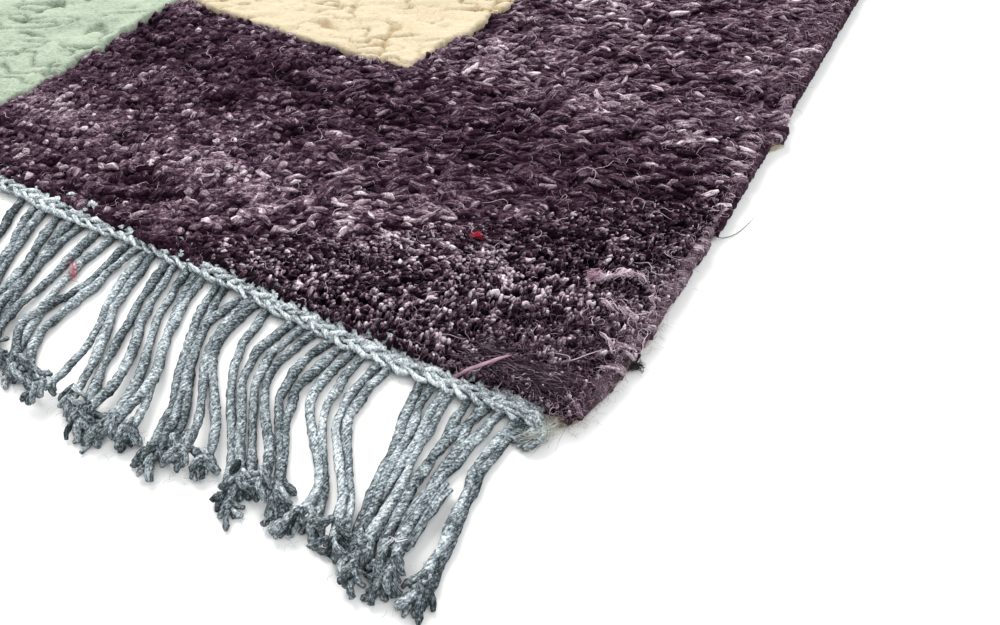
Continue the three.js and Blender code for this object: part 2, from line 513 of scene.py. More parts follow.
# Spots where the knots are painted paler: painted highlights on their sunlit tips.
HIGHLIGHT_SPOTS = (
    # distance from the right side and from the near end, radius, strength
    (10, 277, 4, 0.5),
    (14, 209, 4, 0.5),
    (210, 56, 9, 0.22),
    (120, 68, 9, 0.20),
    (98, 70, 8, 0.22),
    (72, 66, 8, 0.30),
    (62, 62, 6, 0.32),
    (56, 58, 7, 0.30),
    (42, 61, 7, 0.32),
    (35, 68, 5, 0.30),
    (50, 42, 7, 0.20),
    (66, 32, 9, 0.20),
    (28, 30, 8, 0.22),
)
# Furrows where the pile has parted: they lie lower and are darkened with painted shade.
FURROWS = (
    # from a distance from the right side and from the near end, to another, and the half width
    (225, 125, 201, 136, 2.4),
    (201, 136, 175, 145, 2.2),
    (116, 165, 101, 173, 2.2),
    (76, 170, 61, 178, 2.2),
)


def block_of(x, y):
    """The kind of a knot at a place. The layout is the same from both sides and from both ends."""
    across = from_either_side(x, y) + 2.2 * MM * drift(x, y, 13, 9, 11)
    along = from_either_end(x, y) + 1.5 * MM * drift(x, y, 16, 9, 12)
    outer = np.maximum(CREAM_OUTER - (along - CREAM_FROM) * CREAM_SLANT, CREAM_LAST_OUTER)
    cream = (along > CREAM_FROM) & (along < CREAM_TO) & (across > outer) & (across < CREAM_INNER)
    sage = (along > SAGE_FROM) & (along < SAGE_TO) & (across >= CREAM_INNER)
    return np.where(sage, SAGE_KIND, np.where(cream, CREAM_KIND, GROUND))


def in_fine_corner(x, y):
    """The near right corner, where the pile is made finely."""
    s, e = from_side(x, y), from_end(x, y)
    return (e < FINE_FROM_END - FINE_END_FALL * s) & (s < FINE_FROM_SIDE + FINE_SIDE_RISE * e)


def from_corner(x, y):
    """A distance from the near right corner."""
    return from_side(x, y) + 1.3 * from_end(x, y)


def banding(x, y):
    """How much painted light (above 0) and painted shade (below 0) the bands give a place, between about
    -0.1 and 0.1; the pile's height follows them too. They mirror about the middle.
    """
    along = from_either_end(x, y) + 7 * MM * drift(x, y, 70, 70, 30)
    total = np.zeros_like(along)
    for at, half, strength in BANDS:
        total += strength * np.exp(-(((along - at * MM) / (half * MM)) ** 2))
    return total


def highlight_spots(x, y):
    """How much paler a place is painted for the highlight spots near it: painted highlights on sunlit
    tips.
    """
    s, e = from_side(x, y), from_end(x, y)
    total = np.zeros_like(s)
    for side_distance, end_distance, radius, strength in HIGHLIGHT_SPOTS:
        apart = ((s - side_distance * MM) ** 2 + (e - end_distance * MM) ** 2) / (radius * MM) ** 2
        total += strength * np.exp(-apart)
    return total


def laid_over(x, y):
    """0 in the near right corner, where the yarn ends stand up, and 1 where they lie over."""
    reach = from_side(x, y) + 1.1 * from_end(x, y) + 25 * MM * drift(x, y, 22, 22, 18)
    return eased((reach - 90 * MM) / (130 * MM))


def bearing(x, y):
    """The way in which the pile lies, as an angle from +X towards +Y."""
    return 0.14 + 0.26 * np.clip(from_side(x, y) / 0.3, 0, 1) + 0.35 * drift(x, y, 24, 14, 19)


def furrows(x, y):
    """How deep a place lies in one of the furrows, from 0 to 1."""
    s, e = from_side(x, y) / MM, from_end(x, y) / MM
    deepest = np.zeros_like(s)
    for s_from, e_from, s_to, e_to, half in FURROWS:
        run_s, run_e = s_to - s_from, e_to - e_from
        share = ((s - s_from) * run_s + (e - e_from) * run_e) / (run_s**2 + run_e**2)
        share = np.clip(share, 0, 1)
        apart = np.hypot(s - s_from - share * run_s, e - e_from - share * run_e)
        deepest = np.maximum(deepest, np.clip(1.4 - apart / half, 0, 1))
    return deepest


def slits(x, y):
    """How far the pile gapes at a place, from 0 to 1: short slits along the nap, and the furrows."""
    gaping = np.zeros_like(x)
    for length, width, seed, share in ((20, 5.5, 28, 0.45), (9, 3.8, 36, 0.30)):
        fold = np.abs(lumps(x, y, length, width, seed))
        where = share - 1.5 * banding(x, y) + 1.3 * lumps(x, y, 1.3 * length, 2 * width, seed + 1)
        gaping = np.maximum(gaping, np.clip(where, 0, 1) * np.clip(1.2 - fold / 0.27, 0, 1))
    return np.maximum(gaping, furrows(x, y))


def surface(x, y):
    """The height of the pile as a share of its full height."""
    height = 0.95 + 0.25 * banding(x, y)
    height += 0.035 * lumps(x, y, 11, 6, 26) + 0.03 * lumps(x, y, 26, 9, 27)
    height -= 0.30 * slits(x, y)
    height -= 0.05 * np.exp(-from_either_side(x, y) / (4 * MM))
    height -= 0.12 * np.exp(-from_either_end(x, y) / (5 * MM))
    return height


def ground_tone(x, y):
    waves = 0.05 * drift(x, y, 60, 12, 31) + 0.08 * lumps(x, y, 13, 7, 32)
    # Painted light and shade: the bands lighten and darken the ground, and painted shade darkens the
    # slits.
    return 0.505 + 1.0 * banding(x, y) + waves - 0.30 * slits(x, y)


def cream_tone(x, y):
    return 0.60 + 0.05 * lumps(x, y, 30, 12, 33)


def sage_tone(x, y):
    return 0.58 + 0.10 * lumps(x, y, 30, 12, 34)


POOLS = (  # a name, a material and a tone for each kind of knot
    ("ground", ground_wool, ground_tone),
    ("cream", cream_wool, cream_tone),
    ("sage", sage_wool, sage_tone),
)


def dyed(kind, x, y, knot, rng):
    """The tone of each yarn, from the place, its knot's own tone and its own: in the ground some are
    much paler than the rest, as painted highlights on sunlit tips, most of all in the bands of painted
    light and at the highlight spots."""
    own = POOLS[kind][2](x, y)
    if kind != GROUND:
        return own + 0.2 * knot + rng.normal(0, 0.015, len(x))
    patches = drift(x, y, 30, 14, 35)
    spots = highlight_spots(x, y)
    laid = laid_over(x, y)
    chance = np.clip(0.10 + 1.2 * banding(x, y) + 0.08 * patches + spots, 0.03, 1)
    # Painted highlights: some yarn ends are made much paler, as tips that catch the light.
    pale = (rng.random(len(x)) < chance) * rng.uniform(0.08, 0.48 - 0.25 * laid, len(x))
    return own + knot + pale + 0.25 * spots + rng.normal(0, 0.06, len(x))


def tufts(x, y, own, rng, shape):
    """Yarn ends in their own tones that rise from the ground and lie over along the nap, with the
    part that shows at those places. The shape gives their radius, how flat they are pressed, how far
    they lie over, how unlike each other they are, and their girth and tone along the yarn; that tone
    is painted shade that darkens them towards the foot, deep in the pile."""
    count, sides = len(x), shape["sides"]
    t, taper, tones = (np.array(row)[None, :] for row in zip(*shape["along"]))
    rows = t.shape[1]
    laid = np.clip(laid_over(x, y) + rng.normal(shape["laid"], shape["unruly"], count), 0, 1)[:, None]
    reach = (0.6 * MM + laid * shape["reach"]) * rng.uniform(0.6, 1.35, (count, 1))
    way = bearing(x, y) + rng.normal(0, 1, count) * (1.1 - 0.75 * laid[:, 0])
    way = way[:, None] + rng.normal(0, 0.25, (count, 1)) * t
    top = PILE_TOP * np.clip(surface(x, y) + rng.normal(0, shape["uneven"], count), 0.5, 1.05)[:, None]
    foot = 2.2 * MM
    girth = shape["radius"] * rng.uniform(0.75, 1.25, (count, 1))
    rise = top - foot - girth * (0.15 + 0.85 * laid * shape["flat"])
    onward = reach * ((1 - laid) * t**1.6 + laid * (1 - np.cos(0.5 * math.pi * t)) - (1 - 0.28 * laid))
    climb = rise * ((1 - laid) * t + laid * np.sin(0.5 * math.pi * t))
    aside = 0.16 * reach * np.sin(2 * math.pi * (0.9 * t + rng.random((count, 1)))) * t
    paths = together(
        x[:, None] + onward * np.cos(way) - aside * np.sin(way),
        y[:, None] + onward * np.sin(way) + aside * np.cos(way),
        foot + climb + 0.35 * MM * laid * rng.normal(0, 1, (count, rows)) * t,
    )
    tone = own[:, None] + tones + rng.normal(0, shape["mottle"], (count, rows))
    look = {key: shape[key] for key in ("rough", "grain", "shade", "flat")}
    return threads(paths, girth * taper, sides, rng, tone=tone, **look)


# A tuft that lies over in a long lock on the felted ground. `along` gives places along it with their
# girth and their tone; the tone is painted shade that darkens the tuft towards its foot.
ROLL = dict(
    radius=1.75 * MM, flat=0.8, sides=5, laid=0.0, unruly=0.14, reach=12 * MM, uneven=0.035, rough=0.28,
    grain=12 * MM, mottle=0.05, shade=0.22,
    along=[(0.3, 0.85, -0.3), (0.6, 1.05, -0.05), (0.84, 0.95, 0.03), (1.0, 0.45, 0.07)],
)
# A rounder one.
TUFT = dict(ROLL, radius=2.15 * MM, reach=5 * MM, grain=8 * MM)
# One strand of a yarn end that has opened.
STRAND = dict(
    radius=1.05 * MM, flat=1.0, sides=4, laid=0.28, unruly=0.22, reach=6 * MM, uneven=0.055, rough=0.3,
    grain=6 * MM, mottle=0.07, shade=0.15,
    # Painted shade: the strand's tone darkens towards its foot.
    along=[(0.35, 0.9, -0.6), (0.8, 1.05, -0.16), (1.0, 0.5, 0.12)],
)
STRANDS, STRAND_SCATTER = 3, 0.62 * MM  # that a yarn end opens into, and how far they stray


def plain_tufts(x, y, own, rng, radius, darker):
    """Simple tufts in their own tones for what the eye doesn't come near: a low point, four corners
    and a top. Painted shade makes them that much darker at the low point and a little darker at the
    corners, and painted light makes them a little paler at the top."""
    count, sides = len(x), 4
    girth = radius * rng.uniform(0.8, 1.2, (count, 1))
    top = PILE_TOP * (surface(x, y) + rng.normal(0, 0.03, count))
    angle = NAP + rng.normal(0, 0.4, (count, 1)) + np.arange(sides) * 2 * math.pi / sides
    ring = together(
        x[:, None] + girth * np.cos(angle) * (1.25, 1, 1.25, 1),
        y[:, None] + girth * np.sin(angle) * (1.25, 1, 1.25, 1),
        top[:, None] - 1.2 * MM + rng.normal(0, 0.5 * MM, (count, sides)),
    )
    ends = np.stack([together(x, y, top * 0.2), together(x, y, top)], 1)
    points, faces = skins(ring[:, None], ends)
    tone = own[:, None, None, None] - 0.16 * darker + rng.normal(0, 0.08 * darker, (count, 1, sides, 1))
    tone_ends = own[:, None, None] + np.array([-darker, 0.12 * darker])[None, :, None]
    looks = {"tone": laid_out(tone, tone_ends), "fibre": points / (3 * MM)}
    return points, faces, looks


def felted(kind, x, y):
    """The skin of a light block: its height and its tone, with soft lumps and short slits. Painted light
    makes the lumps paler where they rise, and painted shade darkens the slits.
    """
    fold = np.abs(lumps(x, y, 10, 5, 41))
    where = np.clip(0.55 + 1.3 * lumps(x, y, 16, 9, 42), 0, 1)
    gaping = where * np.clip(1 - fold / 0.2, 0, 1)
    height = 0.3 * MM * fold + 0.55 * MM * lumps(x, y, 7, 3.6, 43)
    height += 0.5 * MM * lumps(x, y, 22, 12, 44) - 2.4 * MM * gaping
    # Painted light and shade: paler on the lumps that rise (the same lumps as in the height), darker in
    # the slits.
    tone = POOLS[kind][2](x, y) + 0.06 * lumps(x, y, 7, 3.6, 43) - 0.33 * gaping
    return PILE_TOP * 0.93 + height, tone


def under_tufts(kind, x, y):
    """The felted ground between the tufts: its height and its tone. It sinks away under the standing
    yarn ends of the corner. Its tone is darkened all over by painted shade under the tufts and more
    in the slits, made paler by painted light where its lumps rise, and paler at the highlight spots."""
    sunk = 1 - eased((from_corner(x, y) - FELT_FROM) / (30 * MM))
    height = PILE_TOP * surface(x, y) - 1.9 * MM + 0.8 * MM * lumps(x, y, 9, 4.2, 45)
    # Painted light: the first lumps are those of the height, so the ground is paler where it rises; the
    # finer ones are random blotches. The -0.12 below is painted shade under the tufts.
    lump_light_and_blotches = 0.14 * lumps(x, y, 9, 4.2, 45) + 0.04 * lumps(x, y, 3, 2, 47)
    tone = POOLS[kind][2](x, y) - 0.12 + lump_light_and_blotches + 0.3 * highlight_spots(x, y) - 0.15 * slits(x, y)
    return height - 3 * MM * sunk, tone


def without_pinches(inside):
    """The cells, with one more wherever two of them meet only at a corner."""
    inside = inside.copy()
    while True:
        a, b, c, d = inside[:-1, :-1], inside[1:, :-1], inside[:-1, 1:], inside[1:, 1:]
        pinched = (a & d & ~b & ~c) | (b & c & ~a & ~d)
        if not pinched.any():
            return inside
        inside[:-1, :-1] |= pinched
        inside[1:, :-1] |= pinched


def outlines(starts, ends):
    """The closed loops that those edges make, each a row of point numbers."""
    onward = dict(zip(starts.tolist(), ends.tolist()))
    loops = []
    while onward:
        first, at = onward.popitem()
        loop = [first]
        while at != first:
            loop.append(at)
            at = onward.pop(at)
        loops.append(np.array([loop]))
    return loops


def fine_cells(region, spacing):
    """A square grid over the part of the fine corner that is in the region: its points, and its cells
    as point numbers."""
    count = round(FINE_SIZE / spacing)
    i, j = np.meshgrid(np.arange(count), np.arange(count), indexing="ij")
    x, y = FINE_LOW[0] + i * spacing, FINE_LOW[1] + j * spacing
    middle_x, middle_y = (x + 0.5 * spacing)[:-1, :-1], (y + 0.5 * spacing)[:-1, :-1]
    inside = without_pinches(region(middle_x, middle_y) & in_fine_corner(middle_x, middle_y))
    index = np.arange(count * count).reshape(count, count)
    cells = together(index[:-1, :-1], index[1:, :-1], index[1:, 1:], index[:-1, 1:])[inside]
    used, cells = np.unique(cells, return_inverse=True)
    return x.ravel()[used], y.ravel()[used], cells.reshape(-1, 4)


def skin(kind, region, shape, spacing, rng):
    """A felted skin over the part of the fine corner that is in the region, with the height and the
    tone that `shape` gives, closed by sides and a flat underside."""
    x, y, cells = fine_cells(region, spacing)
    starts, ends = cells.ravel(), np.roll(cells, -1, 1).ravel()
    rim = ~np.isin(ends * len(x) + starts, starts * len(x) + ends)
    starts, ends = starts[rim], ends[rim]
    height, tone = shape(kind, x, y)
    height[starts] -= 0.9 * MM
    x = x + 0.35 * spacing * rng.uniform(-1, 1, len(x))
    y = y + 0.35 * spacing * rng.uniform(-1, 1, len(y))
    foot = np.full(len(x), -1)
    foot[starts] = len(x) + np.arange(len(starts))
    faces = [cells, together(ends, starts, foot[starts], foot[ends])]
    faces += [foot[loop][:, ::-1] for loop in outlines(starts, ends)]
    points = np.concatenate([together(x, y, height), together(x[starts], y[starts], 2.0 * MM)])
    along, across = along_nap(points[:, 0], points[:, 1])
    fibre = together(along, 2.5 * across, points[:, 2]) / (6 * MM)
    # Painted shade: the feet of the sides are darker than the top.
    tone = np.concatenate([tone + 0.02 * rng.normal(0, 1, len(x)), tone[starts] - 0.3])
    return points, faces, {"tone": tone[:, None], "fibre": fibre}


def knots(pitch):
    """The middles of the knots' tops all over the rug, and their kinds."""
    rows, columns = round(KNOTTED_LENGTH / pitch), round(KNOTTED_WIDTH / pitch)
    v, u = (np.arange(rows) + 0.5) / rows, (np.arange(columns) + 0.5) / columns
    v, u = np.meshgrid(v, u, indexing="ij")
    x, y = between_edges(u.ravel(), v.ravel(), over_side=6.5 * MM, over_end=2.5 * MM)
    return x, y, block_of(x, y)


def pile_piece(name, kind, part):
    return solid(f"pile_{name}", [part], POOLS[kind][1])


def scattered(x, y, kind, scatter, rng):
    """The places a little off the regular ones, with the tones of the yarns there."""
    x = x + rng.normal(0, scatter, len(x))
    y = y + rng.normal(0, scatter, len(y))
    return x, y, dyed(kind, x, y, rng.normal(0, 0.07, len(x)), rng)


def opened_ends(x, y, rng):
    """Both yarn ends of the ground's knots at those places, opened into strands."""
    apart = YARN_APART * np.repeat((-1, 1), len(x))
    places = scattered(np.tile(x, 2) + apart, np.tile(y, 2), GROUND, 0.6 * MM, rng)
    x, y, own = (np.repeat(row, STRANDS) for row in places)
    x = x + rng.normal(0, STRAND_SCATTER, len(own))
    y = y + rng.normal(0, STRAND_SCATTER, len(own))
    own = own + 0.02 + rng.normal(0, 0.125, len(own))
    return tufts(x, y, own, rng, STRAND)


def bare_ground(x, y):
    """Where the ground has a felted skin: outside the part with the opened yarn ends."""
    return (block_of(x, y) == GROUND) & (from_corner(x, y) > FELT_FROM)


def fine_pile(rng):
    """The fine corner: opened yarn ends in its nearest part, and in the rest a felted skin, with tufts
    lying over it on the ground."""
    x, y, kind = knots(KNOT_PITCH)
    opened = from_corner(x, y) + 12 * MM * drift(x, y, 9, 9, 17) < OPENED_WITHIN
    close = opened & (kind == GROUND)
    made = [pile_piece("ground_nearest", GROUND, opened_ends(x[close], y[close], rng))]
    laid = in_fine_corner(x, y) & ~close & (kind == GROUND)
    right = from_side(x, y) < 0.18 + 0.04 * rng.normal(0, 1, len(x))
    for name, mine, shape in (("right", laid & right, ROLL), ("left", laid & ~right, TUFT)):
        places = scattered(x[mine], y[mine], GROUND, 0.8 * MM, rng)
        made.append(pile_piece(f"ground_{name}", GROUND, tufts(*places, rng, shape)))
    felt = skin(GROUND, bare_ground, under_tufts, 1.45 * MM, rng)
    made.append(pile_piece("ground_felt", GROUND, felt))
    for number in (CREAM_KIND, SAGE_KIND):
        part = skin(number, lambda x, y: block_of(x, y) == number, felted, 1.15 * MM, rng)
        made.append(pile_piece(f"{POOLS[number][0]}_corner", number, part))
    return made


def coarse_pile(rng):
    """The rest of the rug: a plain tuft for a few knots."""
    x, y, kind = knots(COARSE_PITCH)
    outside = ~in_fine_corner(x, y)
    made = []
    for number, (label, _, _) in enumerate(POOLS):
        # `darker` is how much painted shade darkens the tufts' low points; `paler` lifts the light
        # blocks' own tone.
        paler, darker = (0, 0.5) if number == GROUND else (0.13, 0.12)
        for half, there in (("near", y < 0), ("far", y >= 0)):
            mine = outside & (kind == number) & there
            tuft_x, tuft_y, own = scattered(x[mine], y[mine], number, 0.8 * MM, rng)
            part = plain_tufts(tuft_x, tuft_y, own + paler, rng, 5.4 * MM, darker)
            made.append(pile_piece(f"{label}_{half}", number, part))
    return made


def pile():
    """All the pile, as a list of pieces."""
    rng = np.random.default_rng(1)
    return fine_pile(rng) + coarse_pile(rng)


# ---- Threads: cords, braids and loose fibres ----
def ways(paths):
    """At each point of the paths the way onward, and at right angles to it those sideways and up."""
    onward = unit(np.gradient(paths, axis=1))
    up = np.array([0.0, 0.0, 1.0]) - onward * onward[..., 2:]
    steep = np.linalg.norm(up, axis=-1, keepdims=True) < 0.1
    up = unit(np.where(steep, np.array([1.0, 0, 0]) - onward * onward[..., :1], up))
    return onward, np.cross(up, onward), up


def threads(
    paths, radius, sides, rng, tone=0.5, dye=None,
    ply=0.0, twist=0.0, rough=0.0, grain=8 * MM, shade=0.0, flat=1.0,
):
    """Closed tubes along many paths: paths (threads, rows, 3) and radius (threads, rows). `ply` is the
    depth of the grooves between three plies, which make `twist` turns a metre, `rough` the unevenness
    of the skin, `grain` how far the fibres run, `shade` how much painted shade darkens the underside,
    and `flat` how high they are for their width. A dye takes the place of a tone."""
    count, rows, _ = paths.shape
    onward, side, up = ways(paths)
    steps = np.linalg.norm(np.diff(paths, axis=1), axis=-1)
    length = np.concatenate([np.zeros((count, 1)), np.cumsum(steps, 1)], 1)[:, :, None]
    angle = (np.arange(sides) * 2 * math.pi / sides)[None, None, :]
    turn = 2 * math.pi * (twist * length + rng.uniform(0, 1, (count, 1, 1)))
    around = radius[:, :, None] * (1 - ply + 1.6 * ply * np.abs(np.cos(1.5 * (angle - turn))))
    around = around * rng.uniform(1 - rough, 1 + rough, (count, rows, sides))
    outward = np.cos(angle)[..., None] * side[:, :, None, :]
    outward = outward + flat * np.sin(angle)[..., None] * up[:, :, None, :]
    rings = paths[:, :, None, :] + around[..., None] * outward
    start = paths[:, 0] - onward[:, 0] * radius[:, :1] * 0.5
    end = paths[:, -1] + onward[:, -1] * radius[:, -1:] * 0.5
    points, faces = skins(rings, np.stack([start, end], 1))
    apart = 7.3 * np.arange(count)[:, None, None]
    fibre = together(np.cos(angle - turn) + apart, np.sin(angle - turn), length / grain)
    looks = {"fibre": laid_out(fibre)}
    if dye is None:
        # Painted shade: each tube is darker towards its underside, by up to `shade`.
        under = -shade * (1 - np.sin(angle)) / 2
        tones = (np.broadcast_to(tone, (count, rows))[:, :, None] + under)[..., None]
        looks["tone"] = laid_out(tones)
    else:
        dyes = np.broadcast_to(dye, (count, 3))[:, None, None, :] + np.zeros((1, rows, sides, 1))
        looks["dye"] = laid_out(dyes)
    return points, faces, looks


def smooth_through(places, values, wanted):
    """A soft curve through values at places, by cubic pieces."""
    slopes = np.gradient(values, places, axis=-1)
    cell = np.clip(np.searchsorted(places, wanted, side="right") - 1, 0, len(places) - 2)
    width = places[cell + 1] - places[cell]
    t = (wanted - places[cell]) / width
    return (
        (2 * t**3 - 3 * t**2 + 1) * values[..., cell]
        + (t**3 - 2 * t**2 + t) * width * slopes[..., cell]
        + (-2 * t**3 + 3 * t**2) * values[..., cell + 1]
        + (t**3 - t**2) * width * slopes[..., cell + 1]
    )


def along_route(route, share):
    """Points at those shares of the way along a soft line through a route's points."""
    return smooth_through(np.linspace(0, 1, len(route)), route.T, share).T


def bent(share, bends):
    """How far a strand strays at those shares of its length, for its bends (places, 3)."""
    return np.stack([np.interp(share, np.linspace(0, 1, len(bends)), row) for row in bends.T], 1)


def wander(x, y, z, bearing, length, rows, rng, curl=1.0, wave=0.5, arch=1.0, drop=0.0):
    """Paths of loose fibres that start at those places along a bearing, curl and wave as they go, rise
    by `arch` in the middle and end lower by `drop`."""
    count = len(x)
    share = np.linspace(0, 1, rows)[None, :]
    turn = rng.normal(0, curl, (count, 1)) * share
    turn = turn + wave * np.sin(share * rng.uniform(4, 12, (count, 1)) + rng.uniform(0, 6, (count, 1)))
    bearing = bearing[:, None] + turn
    step = (length / (rows - 1))[:, None]
    lift = arch * rng.uniform(0.3, 1.6, (count, 1)) * np.sin(share * math.pi) ** 0.7
    return together(
        x[:, None] + np.cumsum(step * np.cos(bearing), 1),
        y[:, None] + np.cumsum(step * np.sin(bearing), 1),
        z[:, None] + lift - drop * share**2,
    )


def hairs(paths, radius, rng, dye, rough=0.0):
    """Loose fibres, finer towards their ends, each a little paler or darker than the dye."""
    count, rows, _ = paths.shape
    taper = 1 - 0.6 * np.abs(np.linspace(-1, 1, rows)) ** 3
    girth = radius * rng.uniform(0.7, 1.3, (count, 1)) * taper
    dyes = np.array(dye) * rng.uniform(0.6, 1.4, (count, 1))
    return threads(paths, girth, 3, rng, dye=dyes, rough=rough)


# ---- Fringes ----
# One run of the locks into which the fringe cords fall, from the right corner leftwards, in millimetres.
LOCKS = (
    # cords; first and last root from the rug's side; how far left the lock has strayed at 30 out, at
    # 60 out and at its tip; how wide it is at the tip; and how far out the tip is
    (5, 25, 39, 3, 2, -2, 20, 80),
    (6, 45, 71, -5, -10, -14, 16, 78),
    (4, 84, 102, -2, -25, -31, 24, 76),
    (5, 106, 131, 0, -24, -33, 22, 73),
    (4, 147, 159, -3, -29, -38, 28, 79),
    (9, 170, 216, -12, -27, -34, 54, 83),
    (5, 219, 251, -3, -9, -29, 16, 81),
    (5, 262, 294, -14, -29, -46, 20, 79),
)
CORD_RUNS, RUN_LENGTH, CORD_RADIUS = 3, 289.3 * MM, 1.82 * MM


def cord_paths(end, run, rows, rng):
    """The routes of one run of cords at one end, from under the heading to where the plies part."""
    share = np.linspace(0, 1, rows)
    paths = []
    for cords, first, last, at_30, at_60, at_tip, tip_width, reach in LOCKS:
        places = np.array([0, 30, 60, reach]) * MM
        for beside in np.linspace(-0.5, 0.5, cords):
            root = (first + last) / 2 + beside * (last - first) + rng.normal(0, 1.0)
            drawn = beside * (tip_width - (last - first))
            stray = np.array([0, at_30 + 0.3 * drawn, at_60 + 0.8 * drawn, at_tip + drawn])
            stray = stray + rng.normal(0, 1, 4) * (0, 1.3, 2.0, 2.6)
            if run:
                # Past the corner the first locks of a run lean as the last ones of the run before do.
                stray = stray - 36 * (1 - eased(root / 150)) * eased(places / places[-1])
            out = share * ((reach - 6) * MM + rng.normal(0, 2.2 * MM))
            away = smooth_through(places, stray * MM, out)
            crimp = noise(out / (7 * MM), float(len(paths)), 52) * np.minimum(share * 6, 1)
            x = -end * (WIDTH / 2 - root * MM - run * RUN_LENGTH - away - 0.75 * MM * crimp)
            base = end_y(end, x) + end * (HEADING_HALF - 5.0 * MM)
            paths.append(together(x, base + end * (out + 5.0 * MM * share), 0.0))
    paths = np.array(paths)
    number = np.arange(len(paths))[:, None]
    lift = np.array([0, 1, 2, 0, 1])[number % 5]
    ripple = np.abs(noise(share * 7, number * 3.0, 53))
    climb = 2.4 * MM * lift * eased((share - 0.45) / 0.4)
    paths[:, :, 2] = CORD_RADIUS * 1.02 + climb + 0.8 * MM * ripple
    return paths


def ply_ends(paths, rng, each, rows, sides):
    """The parted plies at the cords' tips: short frayed ends, piled on each other."""
    tip = paths[:, -1]
    count = len(tip)
    ahead = unit((paths[:, -1] - paths[:, -3]) * (1, 1, 0))
    bearing = np.arctan2(ahead[:, 1], ahead[:, 0])
    share = np.linspace(0, 1, rows)
    parts = []
    for number in range(each):
        spread = 1.1 * ((number + 0.5) / each - 0.5) + rng.normal(0, 0.25, count)
        back = rng.uniform(0, 9, count) * MM
        height = tip[:, 2] + rng.uniform(-0.8, 2.8, count) * MM
        x, y = tip[:, 0] - ahead[:, 0] * back, tip[:, 1] - ahead[:, 1] * back
        length = rng.uniform(5, 8, count) * MM
        way = bearing + spread
        path = wander(x, y, height, way, length, rows, rng, curl=0.8, wave=0.2, arch=1.2 * MM)
        path[:, :, 2] = np.maximum(path[:, :, 2] - 3.0 * MM * share, 1.2 * MM)
        girth = (1.15 + 0.5 * share - 0.5 * share**4) * MM * rng.uniform(0.7, 1.2, (count, 1))
        tone = 0.43 + 0.04 * share + rng.normal(0, 0.12, (count, 1))
        parts.append(threads(path, girth, sides, rng, tone=tone, rough=0.38, grain=4 * MM, shade=0.24))
    return parts


def fringe(end):
    """The cords of one fringe with their parted tips."""
    rng = np.random.default_rng(50 + end)
    parts = []
    for run in range(CORD_RUNS):
        close = end == NEAR and run == 0
        rows, sides = (54, 10) if close else (14, 5)
        plies = (10, 6, 5) if close else (3, 4, 4)  # how many, and their rows and sides
        paths = cord_paths(end, run, rows, rng)
        number = np.arange(len(paths))[:, None]
        place = np.arange(rows) / rows * 60 * MM
        swell = 1 + 0.2 * noise(place / (6 * MM), number * 9.0, 51)
        # Painted shade: each cord is darker at its root, under the heading.
        tone = 0.54 + 0.05 * rng.normal(0, 1, (len(paths), 1)) - 0.34 * np.exp(-place / (5 * MM))
        tone = tone + 0.14 * noise(place / (5 * MM), number * 5.0, 54)
        look = {"ply": 0.10, "twist": 70, "rough": 0.13, "grain": 5 * MM, "shade": 0.36}
        parts.append(threads(paths, CORD_RADIUS * swell, sides, rng, tone=tone, **look))
        parts += ply_ends(paths, rng, *plies)
    if end == NEAR:
        parts.append(unspun(rng))
    piece = solid(f"cords_{END_NAME[end]}", parts, grey_cotton)
    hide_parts(f"fringe_{END_NAME[end]}")
    return piece


def unspun(rng):
    """Flat tufts of pale unspun cotton that have slipped out of the last lock at the right corner."""
    count, rows = 7, 9
    share = np.linspace(0, 1, rows)
    path = np.empty((count, rows, 3))
    for number in range(count):
        s = 24.5 + 6.0 * (number / count) + 2.0 * np.sin(2 * share + number)
        out = 36 + rng.uniform(-3, 3) + 26 * share
        x, y = on_rug(s * MM, -out * MM)
        path[number] = together(x, y, (3.2 + 1.6 * np.sin(math.pi * share)) * MM)
    girth = 1.9 * MM * np.sin(math.pi * np.clip(share, 0.06, 0.94)) ** 0.5
    girth = girth[None, :] * rng.uniform(0.7, 1.2, (count, 1))
    return threads(path, girth, 7, rng, tone=0.53, rough=0.2, grain=20 * MM, shade=0.3, flat=0.5)


# ---- Headings ----
BRAID_ROWS = (
    # how far out from the middle of the heading, and how high, in millimetres
    (3.1, 3.6),
    (0.3, 4.6),
    (-2.5, 4.5),
)
BRAID_TURN = 14 * MM  # the length in which two strands go once round each other


def braid_rows(end, reach, rng):
    """The fine rows of two strands each, twisted by turns to the left and to the right."""
    x = np.arange(-reach, reach, (2.0 if end == NEAR else 4.0) * MM)

    def uneven(size, seed):
        """Soft noise along the end, in lumps of that many millimetres."""
        return noise(x / (size * MM), 0.0, seed)

    parts = []
    for row, (outward, height) in enumerate(BRAID_ROWS):
        hand = 1 - 2 * (row % 2)
        phase = 2 * math.pi * x / BRAID_TURN + row * 1.3 + 1.1 * uneven(20, 61 + row)
        for strand in range(2):
            at = phase + strand * math.pi
            sway = 1.35 * MM * np.cos(at) * -end + 1.0 * MM * uneven(8, 63 + strand + 2 * row)
            lift = height * MM + hand * 0.85 * MM * np.sin(at) + 0.5 * MM * uneven(6, 75 + strand)
            path = together(x, end_y(end, x) + end * outward * MM + sway, lift)
            girth = 1.22 * MM * (1 + 0.30 * uneven(5, 67 + strand + 2 * row))[None]
            # Painted light and shade: each strand is paler where it rises over its partner and darker
            # where it dips under.
            tone = 0.80 + 0.14 * uneven(4, 71 + strand) + hand * 0.06 * np.sin(at)
            look = {"ply": 0.2, "twist": hand * 120, "rough": 0.26, "shade": 0.26}
            parts.append(threads(path[None], girth, 6 if end == NEAR else 5, rng, tone=tone, **look))
    return parts


